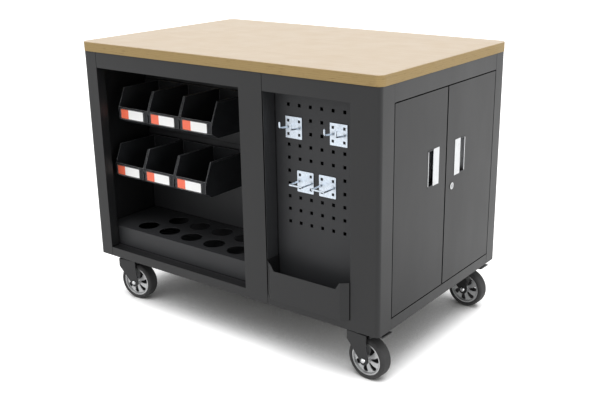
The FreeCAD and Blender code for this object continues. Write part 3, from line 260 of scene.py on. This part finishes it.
# Bright metals
def brushed_metal(name, colour, roughness, stretch, anisotropy=0.0, hollow_shade=0.20, dark_corners=()):
    """Metal with fine brush marks across the stretch, smears and painted shade in hollows.

    Each of the dark corners is a list of sides. A side is an axis, the place up to which the
    corner is dark grey along it, and the place from where on it is clear.
    """
    look = Look(name, Metallic=1.0, Anisotropic=anisotropy)
    lines = look.noise(scale=900.0, detail=3.0, roughness=0.6, stretch=stretch)
    tone = look.mixed(look.between(lines, 0.35, 0.65), shade(colour, 0.86), shade(colour, 1.08))
    stains = look.noise(scale=45.0, detail=4.0, roughness=0.6)
    tone = look.mixed(look.between(stains, 0.50, 0.80, 0.0, 0.30), tone, shade(colour, 0.70))
    # Painted shade: darker in hollows and near other parts, down to hollow_shade times the colour
    unshaded_share = look.between(look.openness(reach=0.018), 0.25, 0.75)
    tone = look.mixed(unshaded_share, shade(colour, hollow_shade), tone)
    for sides in dark_corners:
        clear = 0.0
        for axis, place, end in sides:
            clear = look.math("MAXIMUM", clear, look.between(look.axis(axis), place, end))
        tone = look.mixed(clear, PULL_RIM_GREY, tone)
    look.wire("Base Color", tone)
    rough = look.math("MULTIPLY_ADD", look.between(stains, 0.3, 0.7), 0.10, roughness - 0.04)
    look.wire("Roughness", look.math("MULTIPLY_ADD", lines, 0.06, rough))
    rounded = look.soft_edges(radius=0.0005)
    look.wire("Normal", look.bump(lines, depth=0.00002, over=rounded))
    return look.material


def plated_metal(name, colour, roughness):
    """Zinc plate: faint crystal patches, fine pits, a soft sheen and painted shade in corners."""
    look = Look(name, Metallic=1.0)
    patches = look.axis("X", look.cells(scale=260.0))
    tone = look.mixed(patches, shade(colour, 0.88), shade(colour, 1.08))
    film = look.noise(scale=90.0, detail=4.0, roughness=0.6)
    tone = look.mixed(look.between(film, 0.50, 0.80, 0.0, 0.35), tone, shade(colour, 0.72))
    # Painted shade: darker round the prongs and in corners, where other parts come near
    unshaded_share = look.between(look.openness(reach=0.012), 0.45, 0.95)
    look.wire("Base Color", look.mixed(unshaded_share, shade(colour, 0.15), tone))
    look.wire("Roughness", look.math("MULTIPLY_ADD", patches, 0.08, roughness - 0.02))
    pits = look.noise(scale=800.0)
    rounded = look.soft_edges(radius=0.0005)
    look.wire("Normal", look.bump(pits, depth=0.00003, over=rounded))
    return look.material


# Plastic and rubber, and how high the dust of the floor reaches
DUST_HEIGHT = 0.05


def moulded_plastic(name, colour):
    """Moulded plastic: fine spark grain, flow clouds, rounded edges and painted edge highlights."""
    look = Look(name, Specular_IOR_Level=0.22)
    clouds = look.noise(scale=30.0, detail=4.0, roughness=0.6)
    tone = look.mixed(look.between(clouds, 0.3, 0.7), shade(colour, 0.85), shade(colour, 1.2))
    # Painted highlight: patchy bright lines along the rims' sharp edges
    edge_patchiness = look.between(look.noise(scale=120.0), 0.3, 0.6, 0.6, 1.0)
    edge_highlight = look.math("MULTIPLY", look.edge_mask(radius=0.0009), edge_patchiness)
    look.wire("Base Color", look.mixed(edge_highlight, tone, RIM_SHINE))
    smears = look.noise(scale=16.0, detail=5.0)
    look.wire("Roughness", look.between(smears, 0.3, 0.7, 0.40, 0.52))
    spark = look.noise(scale=1500.0, detail=2.0)
    rounded = look.soft_edges(radius=0.0010)
    look.wire("Normal", look.bump(spark, depth=0.00003, over=rounded))
    return look.material


def tyre_rubber(name, colour):
    """Dull rubber with a dusty tread and faint turning marks."""
    look = Look(name, Specular_IOR_Level=0.30)
    dust = look.noise(scale=70.0, detail=5.0, roughness=0.7)
    near_floor = look.between(look.axis("Z"), 0.0, DUST_HEIGHT, 1.0, 0.0)
    patches = look.between(dust, 0.40, 0.75, 0.0, 0.5)
    amount = look.math("MULTIPLY", patches, look.math("ADD", near_floor, 0.4))
    look.wire("Base Color", look.mixed(amount, colour, DUST))
    look.wire("Roughness", look.between(dust, 0.3, 0.7, 0.55, 0.75))
    marks = look.noise(scale=500.0, detail=4.0)
    rounded = look.soft_edges(radius=0.0010)
    look.wire("Normal", look.bump(marks, depth=0.00008, over=rounded))
    return look.material


# Wheel cores: how far from their middle the web's faces are, and how fast a recess's painted shade
# sets in
WEB_FACE = 0.0124
WEB_FADE = 0.0012
CORE_METALLIC = 0.85


def cast_alloy(name, colour, roughness, centre, axle):
    """Silver core; painted shade blackens its recesses, deeper than the web's face, and its edges.
    """
    look = Look(name, Metallic=CORE_METALLIC, Coat_Weight=0.15, Coat_Roughness=0.25)
    skin = look.noise(scale=300.0, detail=4.0, roughness=0.6)
    tone = look.mixed(look.between(skin, 0.35, 0.65), shade(colour, 0.92), shade(colour, 1.05))
    grime = look.noise(scale=55.0, detail=4.0, roughness=0.6)
    tone = look.mixed(look.between(grime, 0.55, 0.80, 0.0, 0.35), tone, shade(colour, 0.5))
    from_centre = look.vector_math("SUBTRACT", look.place, centre).outputs[0]
    along = look.vector_math("DOT_PRODUCT", from_centre, axle).outputs["Value"]
    away = look.math("ABSOLUTE", along)
    recess = look.between(away, WEB_FACE - WEB_FADE, WEB_FACE, 1.0, 0.0)
    # Painted shade: the recesses and sharp edges go black, matt and without reflection
    black = look.math("MAXIMUM", recess, look.edge_mask(radius=0.0030))
    look.wire("Base Color", look.mixed(black, tone, RECESS_SHADE))
    look.wire("Metallic", look.between(black, 0.0, 1.0, CORE_METALLIC, 0.0))
    rough = look.between(grime, 0.3, 0.7, roughness, roughness + 0.14)
    look.wire("Roughness", look.math("MAXIMUM", rough, black))
    look.wire("Normal", look.bump(skin, depth=0.00004, over=look.soft_edges(radius=0.0008)))
    return look.material


def label_card(name, split_x):
    """Plain card, red up to split_x and white beyond it."""
    look = Look(name, Specular_IOR_Level=0.4)
    white = look.math("GREATER_THAN", look.axis("X"), split_x)
    fibre = look.noise(scale=500.0)
    red = look.mixed(fibre, shade(CARD_RED, 0.92), shade(CARD_RED, 1.06))
    pale = look.mixed(fibre, shade(CARD_WHITE, 0.96), shade(CARD_WHITE, 1.02))
    look.wire("Base Color", look.mixed(white, red, pale))
    look.wire("Roughness", look.between(look.noise(scale=80.0), 0.3, 0.7, 0.35, 0.5))
    look.wire("Normal", look.bump(fibre, depth=0.00002))
    return look.material


# Looks of the CAD nodes by the record's slots, but for the nodes that have their own
LOOKS = {
    "worktop": worktop_board("worktop_board"),
    "body_paint": powder_coat("body_coat", ANTHRACITE),
    # The inner paint is a lighter copy of the body paint: painted light in the shaded bay and
    # recess
    "inner_paint": powder_coat("inner_coat", shade(ANTHRACITE, 3.0), 0.50, 0.42),
    "chrome": brushed_metal("turned_chrome", shade(STEEL, 0.62), 0.20, NO_BRUSH),
    "zinc": plated_metal("zinc_plate", ZINC, 0.34),
    "bin_plastic": moulded_plastic("bin_shell", PLASTIC),
    "caster_steel": powder_coat("caster_enamel", shade(ANTHRACITE, 1.2), 0.34),
    "axle_steel": brushed_metal("axle_bright", shade(STEEL, 1.05), 0.22, NO_BRUSH),
    "tyre_rubber": tyre_rubber("tyre_black", RUBBER),
}


def wheel_looks():
    """Each wheel core's own look, from the place and axis of the joint that it rolls on."""
    looks = {}
    for joint in frame["joints"]:
        if joint["name"].endswith("_roll"):
            name = joint["child"]
            axle = Vector(joint["axis"]).normalized()
            looks[name] = cast_alloy(name + "_silver", SILVER, 0.30, joint["pos_m"], axle)
    return looks


# Door pulls: the plate to grip behind, and the rims above and below the cup beside it
GRIP_WIDTH = 0.033
PULL_RIM = 0.0035
PULL_FADE = 0.0005
LOW_SIDE = 0
HIGH_SIDE = 1


def pull_look(label, grip_side, hollow_shade):
    """Steel of a pull, its grip plate on that side along Y, with dark grey rims and painted cup
    shade.
    """
    low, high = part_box(label)
    inward = 1 - 2 * grip_side
    grip_edge = (low, high)[grip_side][1] + GRIP_WIDTH * inward
    grip = ("Y", grip_edge, grip_edge - PULL_FADE * inward)
    under = ("Z", low[2] + PULL_RIM, low[2] + PULL_RIM + PULL_FADE)
    over = ("Z", high[2] - PULL_RIM, high[2] - PULL_RIM - PULL_FADE)
    steel = shade(STEEL, 0.80)
    rims = [(grip, under), (grip, over)]
    return brushed_metal(
        label + "_steel", steel, 0.30, UPRIGHT_BRUSH, BRUSH_ANISOTROPY, hollow_shade, rims)


def seam_shade_looks():
    """The looks of what ends in an open gap, with black lines of painted shade along those edges.
    """
    looks = {}
    for label in ("left_door", "right_door"):
        low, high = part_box(label)
        shade_lines = [("Y", low[1]), ("Y", high[1]), ("Z", low[2]), ("Z", high[2])]
        looks[label] = powder_coat(label + "_coat", ANTHRACITE, 0.40, 0.35, shade_lines)
    low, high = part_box("front_frame")
    shade_lines = [("X", low[0]), ("X", high[0])]
    looks["front_frame"] = powder_coat("front_frame_coat", ANTHRACITE, shade_lines=shade_lines)
    for label in ("right_top_rail", "right_bottom_rail"):
        shade_lines = [("Y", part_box(label)[1][1])]
        looks[label] = powder_coat(label + "_coat", ANTHRACITE, shade_lines=shade_lines)
    shade_lines = [("X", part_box("pocket")[1][0])]
    looks["pocket"] = powder_coat("pocket_coat", ANTHRACITE, shade_lines=shade_lines)
    return looks


def dress_nodes():
    """Gives each CAD node its own look, or else the one of its slot."""
    own = {**wheel_looks(), **seam_shade_looks()}
    # Painted shade in each pull's cup: deep in the left one, light in the right one, whose far wall
    # is lit
    own["left_door_pull"] = pull_look("left_door_pull", HIGH_SIDE, hollow_shade=0.15)
    own["right_door_pull"] = pull_look("right_door_pull", LOW_SIDE, hollow_shade=0.55)
    # Painted shade: the cupboard shelf and its brackets are near black and matt, so the peg holes
    # before them look dark
    for label in ("cupboard_shelf", "shelf_brackets"):
        own[label] = powder_coat(label + "_coat", shade(ANTHRACITE, 0.3), 0.90, 0.0)
    for label, node in frame["nodes"].items():
        for place in node.material_slots:
            name = place.material.name.split(".")[0]
            place.material = own[label] if label in own else LOOKS[name]


# Label cards: their place from each bin's low corner, and their form
CARD_LEFT = 0.0146
CARD_RIGHT = 0.1164
CARD_LOW = 0.0184
CARD_HIGH = 0.0480
CARD_SINK = 0.0006
CARD_THICK = 0.0003
CARD_BOW = 0.0002
CARD_CORNER = 0.0006
CARD_STEPS = 12
CARD_RED_WIDTH = 0.0345


def new_piece(name, verts, faces, material):
    """A mesh object in the scene, in the CAD frame."""
    mesh = bpy.data.meshes.new(name)
    mesh.from_pydata(verts, [], faces)
    mesh.materials.append(material)
    mesh.update()
    piece = bpy.data.objects.new(name, mesh)
    bpy.context.collection.objects.link(piece)
    return piece


def card(name, low, high, material):
    """A thin card that bows forward between its sides, with cut corners."""
    width = high[0] - low[0]
    outline = []
    for n in range(CARD_STEPS + 1):
        along = n / CARD_STEPS
        rise = CARD_CORNER if n in (0, CARD_STEPS) else 0.0
        bow = CARD_BOW * 4.0 * along * (1.0 - along)
        outline.append((low[0] + width * along, low[1] - bow, low[2] + rise, high[2] - rise))
    thick = high[1] - low[1]
    verts = []
    for x, y, under, top in outline:
        verts += [(x, y, under), (x, y, top), (x, y + thick, top), (x, y + thick, under)]
    faces = [(0, 3, 2, 1)]
    for n in range(CARD_STEPS):
        first, after = 4 * n, 4 * n + 4
        for side in range(4):
            turn = (side + 1) % 4
            faces.append((first + side, first + turn, after + turn, after + side))
    last = 4 * CARD_STEPS
    faces.append((last, last + 1, last + 2, last + 3))
    return new_piece(name, verts, faces, material)


def label_bins():
    """A card in the holder of each bin."""
    for row in ("upper", "lower"):
        for n in (1, 2, 3):
            body = "%s_bin_%d" % (row, n)
            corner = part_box(body)[0]
            low = (corner[0] + CARD_LEFT, corner[1] + CARD_SINK, corner[2] + CARD_LOW)
            high = (corner[0] + CARD_RIGHT, low[1] + CARD_THICK, corner[2] + CARD_HIGH)
            paper = label_card(body + "_card", low[0] + CARD_RED_WIDTH)
            piece = card(body + "_label", low, high, paper)
            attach(piece, body)


# Upper hooks: zinc plates that fit the panel, each with two upturned prongs
PLATE_WIDTH = 0.057
PLATE_HEIGHT = 0.062
PLATE_METAL = 0.002
PLATE_HOLE = 0.008
PLATE_PITCH = 0.038
PANEL_METAL = 0.0015
PRONG_RADIUS = 0.0026
PRONG_REACH = 0.039
PRONG_SLOPE = math.radians(7.0)
PRONG_TIP = 0.022
PRONG_BEND = 0.006
PRONG_SINK = 0.0005
PRONG_SIDES = 14
BEND_STEPS = 8
TIP_STEPS = 4


def perforated_plate(verts, faces, x, front, z):
    """Adds an upright plate with four square holes round its centre."""
    half = PLATE_HOLE / 2.0
    pitch = PLATE_PITCH / 2.0
    cuts = [-pitch - half, -pitch + half, pitch - half, pitch + half]
    across = [-PLATE_WIDTH / 2.0, *cuts, PLATE_WIDTH / 2.0]
    upward = [-PLATE_HEIGHT / 2.0, *cuts, PLATE_HEIGHT / 2.0]
    size = len(across)
    start = len(verts)
    for y in (front, front + PLATE_METAL):
        verts += [(x + u, y, z + v) for v in upward for u in across]

    def solid(i, j):
        return 0 <= i < size - 1 and 0 <= j < size - 1 and not (i % 2 and j % 2)

    def spot(i, j, side):
        return start + side * size * size + j * size + i

    for i in range(size - 1):
        for j in range(size - 1):
            if not solid(i, j):
                continue
            corners = [(i, j), (i + 1, j), (i + 1, j + 1), (i, j + 1)]
            faces.append([spot(a, b, 0) for a, b in corners])
            faces.append([spot(a, b, 1) for a, b in reversed(corners)])
            beside = [(i, j - 1), (i + 1, j), (i, j + 1), (i - 1, j)]
            for n in range(4):
                if solid(*beside[n]):
                    continue
                first, after = corners[n], corners[(n + 1) % 4]
                wall = ((after, 0), (first, 0), (first, 1), (after, 1))
                faces.append([spot(i, j, side) for (i, j), side in wall])


def prong_line():
    """Distance from the plate, height, angle and radius along the prong's middle line."""
    hub_out = PRONG_REACH - PRONG_BEND
    slope_end = hub_out + PRONG_BEND * math.sin(PRONG_SLOPE)
    hub_up = PRONG_BEND * math.cos(PRONG_SLOPE) + slope_end * math.tan(PRONG_SLOPE)
    line = [(-PRONG_SINK, 0.0, PRONG_SLOPE, PRONG_RADIUS)]
    for n in range(BEND_STEPS + 1):
        angle = PRONG_SLOPE + (math.pi / 2.0 - PRONG_SLOPE) * n / BEND_STEPS
        out = hub_out + PRONG_BEND * math.sin(angle)
        line.append((out, hub_up - PRONG_BEND * math.cos(angle), angle, PRONG_RADIUS))
    for n in range(TIP_STEPS):
        angle = math.pi / 2.0 * n / TIP_STEPS
        up = PRONG_TIP - PRONG_RADIUS * (1.0 - math.sin(angle))
        line.append((PRONG_REACH, up, math.pi / 2.0, PRONG_RADIUS * math.cos(angle)))
    return line


def prong(verts, faces, x, front, z):
    """Adds a round prong that leaves the plate at x and z, rises and turns upwards."""
    around = PRONG_SIDES
    start = len(verts)
    line = prong_line()
    for out, up, angle, radius in line:
        for n in range(around):
            turn = 2.0 * math.pi * n / around
            lift = radius * math.sin(turn)
            y = front - out + lift * math.sin(angle)
            verts.append((x + radius * math.cos(turn), y, z + up + lift * math.cos(angle)))
    for ring in range(len(line) - 1):
        first = start + ring * around
        for n in range(around):
            after = (n + 1) % around
            faces.append([first + n, first + after, first + around + after, first + around + n])
    faces.append([len(verts) - around + n for n in range(around)])


def hang_hooks():
    """Two hooks with two prongs each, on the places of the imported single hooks."""
    low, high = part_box("single_hooks")
    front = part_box("pegboard")[1][1] - PANEL_METAL - PLATE_METAL
    z = (low[2] + high[2]) / 2.0
    verts = []
    faces = []
    middles = (low[0] + PLATE_WIDTH / 2.0, high[0] - PLATE_WIDTH / 2.0)
    for x in middles:
        perforated_plate(verts, faces, x, front, z)
    flat = len(faces)
    for x in middles:
        for side in (-1.0, 1.0):
            prong(verts, faces, x + side * PLATE_PITCH / 2.0, front, z)
    hooks = new_piece("prong_hooks", verts, faces, LOOKS["zinc"])
    for face in list(hooks.data.polygons)[flat:]:
        face.use_smooth = True
    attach(hooks, "cabinet")
    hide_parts("single_hooks")


# Floor: how far off it feels the object, between which shares of open sky its painted shade ends
# and its glow for the camera starts, and over which stretch of Y its glow for reflections rises
FLOOR_SIZE = 90.0
FLOOR_DROP = 0.0003
FLOOR_REACH = 0.5
SHADE_ENDS = (0.10, 0.38)
LIFT_ENDS = (0.36, 0.54)
FLOOR_LIFT = 0.50
GLOW_ENDS = (0.0, 0.8)
FLOOR_GLOW = 0.6


def rays(tree, *kinds):
    """1 for rays of these kinds, and 0 for all others."""
    paths = tree.nodes.new("ShaderNodeLightPath")
    found = paths.outputs[kinds[0]]
    for kind in kinds[1:]:
        either = tree.nodes.new("ShaderNodeMath")
        either.operation = "MAXIMUM"
        tree.links.new(found, either.inputs[0])
        tree.links.new(paths.outputs[kind], either.inputs[1])
        found = either.outputs[0]
    return found


def lay_floor():
    """Floor: painted shade under the object, a glow where open and a glowing back for reflections.
    """
    look = Look("studio_floor", Roughness=0.7, Specular_IOR_Level=0.1)
    tone = look.mixed(look.noise(scale=0.8), shade(FLOOR_WHITE, 0.995), FLOOR_WHITE)
    open_floor = look.openness(FLOOR_REACH)
    look.wire("Base Color", look.mixed(look.between(open_floor, *SHADE_ENDS), FLOOR_SHADE, tone))
    look.wire("Emission Color", tone)
    seen = rays(look.tree, "Is Camera Ray", "Is Transmission Ray")
    lift = look.math("MULTIPLY", look.between(open_floor, *LIFT_ENDS, 0.0, FLOOR_LIFT), seen)
    back = look.between(look.axis("Y"), *GLOW_ENDS, 0.0, FLOOR_GLOW)
    glow = look.math("MULTIPLY", back, rays(look.tree, "Is Glossy Ray"))
    look.wire("Emission Strength", look.math("ADD", lift, glow))
    half = FLOOR_SIZE / 2.0
    corners = [(-half, -half), (half, -half), (half, half), (-half, half)]
    verts = [(x, y, -FLOOR_DROP) for x, y in corners]
    floor = new_piece("floor", verts, [(0, 1, 2, 3)], look.material)


def light_world():
    """White where the camera or a reflection sees it, and plain grey light elsewhere."""
    world = bpy.data.worlds.new("studio")
    bpy.context.scene.world = world
    world.use_nodes = True
    nodes = world.node_tree.nodes
    links = world.node_tree.links
    seen = rays(world.node_tree, "Is Camera Ray", "Is Glossy Ray", "Is Transmission Ray")
    level = nodes.new("ShaderNodeMapRange")
    level.inputs["To Min"].default_value = SKY_LEVEL
    level.inputs["To Max"].default_value = 1.0
    links.new(seen, level.inputs["Value"])
    sky = nodes["Background"]
    sky.inputs["Color"].default_value = (1.0, 1.0, 1.0, 1.0)
    links.new(level.outputs["Result"], sky.inputs["Strength"])


def hang_sun(name, place, strength, spread):
    """A sun that shines from that direction onto the origin."""
    lamp = bpy.data.lights.new(name, "SUN")
    lamp.energy = strength
    lamp.angle = spread
    holder = bpy.data.objects.new(name, lamp)
    holder.rotation_euler = Vector(place).to_track_quat("Z", "Y").to_euler()
    bpy.context.collection.objects.link(holder)


def place_camera():
    """The camera that was fitted to the photograph."""
    data = bpy.data.cameras.new("camera")
    data.sensor_fit = "HORIZONTAL"
    data.lens = data.sensor_width * FOCAL_PIXELS / PHOTO_WIDTH
    data.shift_x = (PHOTO_WIDTH / 2.0 - CENTRE_X) / PHOTO_WIDTH
    data.shift_y = (CENTRE_Y - PHOTO_HEIGHT / 2.0) / PHOTO_WIDTH
    data.clip_start = 0.02
    data.clip_end = 200.0
    right = CAMERA_RIGHT.normalized()
    back = right.cross(-CAMERA_DOWN).normalized()
    up = back.cross(right)
    camera = bpy.data.objects.new("camera", data)
    axes = Matrix((right, up, back)).transposed()
    camera.matrix_world = Matrix.Translation(CAMERA_PLACE) @ axes.to_4x4()
    bpy.context.collection.objects.link(camera)
    bpy.context.scene.camera = camera


dress_nodes()
label_bins()
hang_hooks()
lay_floor()
light_world()
for sun in SUNS:
    hang_sun(*sun)
place_camera()
bpy.context.scene.view_settings.view_transform = "Standard"
